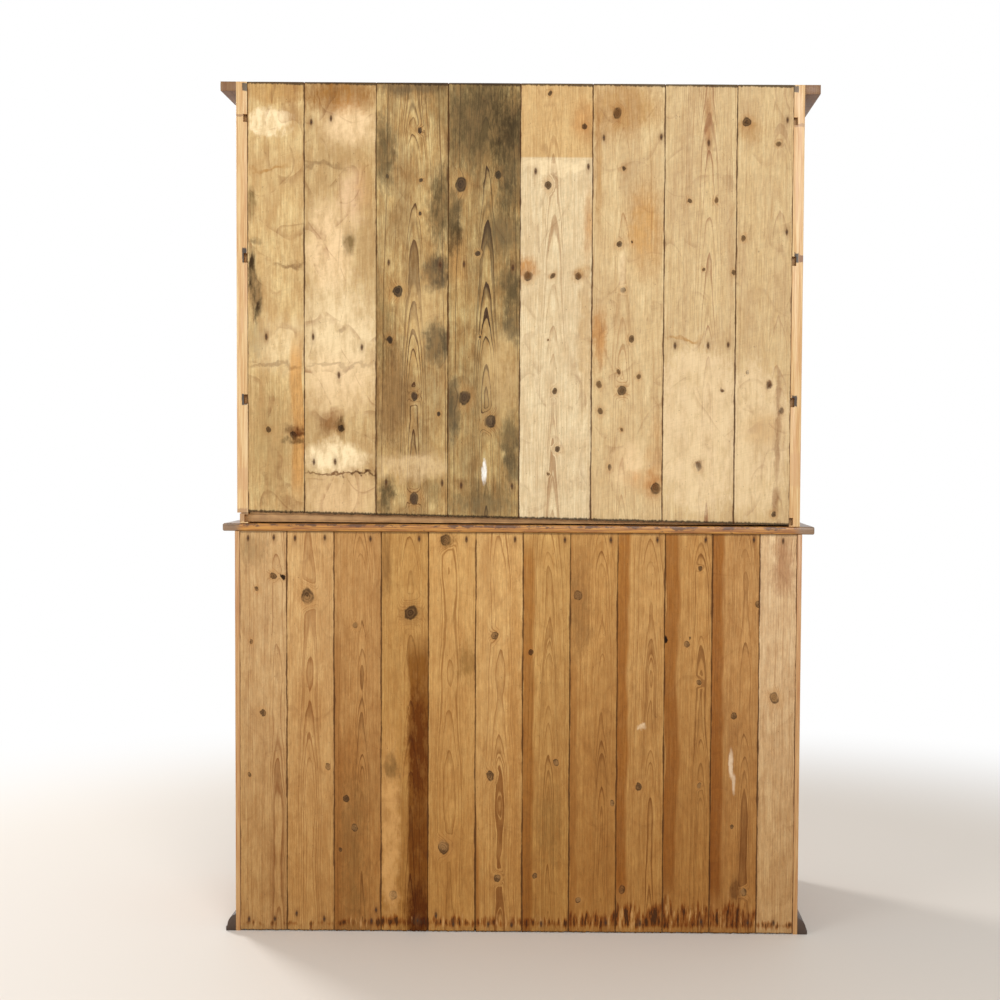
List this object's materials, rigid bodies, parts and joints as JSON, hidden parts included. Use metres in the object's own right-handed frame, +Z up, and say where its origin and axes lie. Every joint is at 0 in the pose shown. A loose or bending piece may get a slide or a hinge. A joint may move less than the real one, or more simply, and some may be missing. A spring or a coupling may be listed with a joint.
{
  "type": "step back cupboard",
  "caption": "Tall two-part wooden cupboard: glazed upper case with shelves set back on a deeper base with drawers and panelled doors, plank back.",
  "frame": {"origin": "on the floor, in the middle of the whole footprint, knobs included", "axes": "+Z up, the front faces -Y, +X to the right as seen from the front"},
  "size_m": [1.428, 0.504, 2.045],
  "materials": {
    "case_pine": "waxed",
    "inside_pine": "bare",
    "upper_back_pine": "weathered",
    "base_back_pine": "weathered",
    "slab_pine": "waxed",
    "moulding_pine": "waxed",
    "hinge_iron": "satin",
    "screw_iron": "satin",
    "pane_glass": "clear"
  },
  "bodies": {
    "carcass": {"base_top": "slab_pine", "cornice_front": "moulding_pine", "cornice_returns": "moulding_pine", "drawer_divider": "case_pine", "drawer_guides": "inside_pine", "drawer_kickers": "inside_pine", "drawer_rail": "case_pine", "drawer_runners": "inside_pine", "hinge_fixed_leaves": "hinge_iron", "lower_back_boards": "base_back_pine", "lower_back_rails": "inside_pine", "lower_bottom_board": "inside_pine", "lower_bottom_rail": "case_pine", "lower_shelf": "inside_pine", "lower_side_left": "case_pine", "lower_side_right": "case_pine", "lower_stiles": "case_pine", "lower_top_rail": "case_pine", "plinth_front": "moulding_pine", "plinth_returns": "moulding_pine", "turn_button_screws": "screw_iron", "upper_back_board_1": "upper_back_pine", "upper_back_board_2": "upper_back_pine", "upper_back_board_3": "upper_back_pine", "upper_back_board_4": "upper_back_pine", "upper_back_board_5": "upper_back_pine", "upper_back_board_6": "upper_back_pine", "upper_back_board_7": "upper_back_pine", "upper_back_board_8": "upper_back_pine", "upper_bottom_board": "inside_pine", "upper_bottom_rail": "case_pine", "upper_frieze_rail": "case_pine", "upper_high_shelf": "inside_pine", "upper_low_shelf": "inside_pine", "upper_side_left": "case_pine", "upper_side_right": "case_pine", "upper_stiles": "case_pine", "upper_top_board": "inside_pine"},
    "drawer_left": {"drawer_left_bottom": "inside_pine", "drawer_left_box": "inside_pine", "drawer_left_front": "case_pine"},
    "drawer_right": {"drawer_right_bottom": "inside_pine", "drawer_right_box": "inside_pine", "drawer_right_front": "case_pine"},
    "lower_door_left": {"lower_door_left_frame": "case_pine", "lower_door_left_hinge_leaves": "hinge_iron", "lower_door_left_panel": "case_pine"},
    "lower_door_right": {"lower_door_right_frame": "case_pine", "lower_door_right_hinge_leaves": "hinge_iron", "lower_door_right_panel": "case_pine"},
    "lower_turn_button": {"lower_turn_button": "case_pine"},
    "upper_door_left": {"upper_door_left_frame": "case_pine", "upper_door_left_hinge_leaves": "hinge_iron", "upper_door_left_panes": "pane_glass"},
    "upper_door_right": {"upper_door_right_frame": "case_pine", "upper_door_right_hinge_leaves": "hinge_iron", "upper_door_right_panes": "pane_glass"},
    "upper_turn_button": {"upper_turn_button": "case_pine"}
  },
  "joints": [
    {"name": "upper_door_left_hinge", "type": "hinge", "parent": "carcass", "child": "upper_door_left", "pos_m": [-0.631, -0.0523, 1.494], "axis": [0, 0, -1], "range_deg": [0, 175]},
    {"name": "upper_door_right_hinge", "type": "hinge", "parent": "carcass", "child": "upper_door_right", "pos_m": [0.631, -0.0523, 1.494], "axis": [0, 0, 1], "range_deg": [0, 175]},
    {"name": "lower_door_left_hinge", "type": "hinge", "parent": "carcass", "child": "lower_door_left", "pos_m": [-0.632, -0.2223, 0.4345], "axis": [0, 0, -1], "range_deg": [0, 175]},
    {"name": "lower_door_right_hinge", "type": "hinge", "parent": "carcass", "child": "lower_door_right", "pos_m": [0.632, -0.2223, 0.4345], "axis": [0, 0, 1], "range_deg": [0, 175]},
    {"name": "drawer_left_slide", "type": "slide", "parent": "carcass", "child": "drawer_left", "axis": [0, -1, 0], "range_m": [0, 0.32]},
    {"name": "drawer_right_slide", "type": "slide", "parent": "carcass", "child": "drawer_right", "axis": [0, -1, 0], "range_m": [0, 0.32]},
    {"name": "upper_turn_button_pivot", "type": "hinge", "parent": "carcass", "child": "upper_turn_button", "pos_m": [0, -0.053, 1.964], "axis": [0, 1, 0], "continuous": true},
    {"name": "lower_turn_button_pivot", "type": "hinge", "parent": "carcass", "child": "lower_turn_button", "pos_m": [0, -0.223, 0.7915], "axis": [0, 1, 0], "continuous": true}
  ]
}
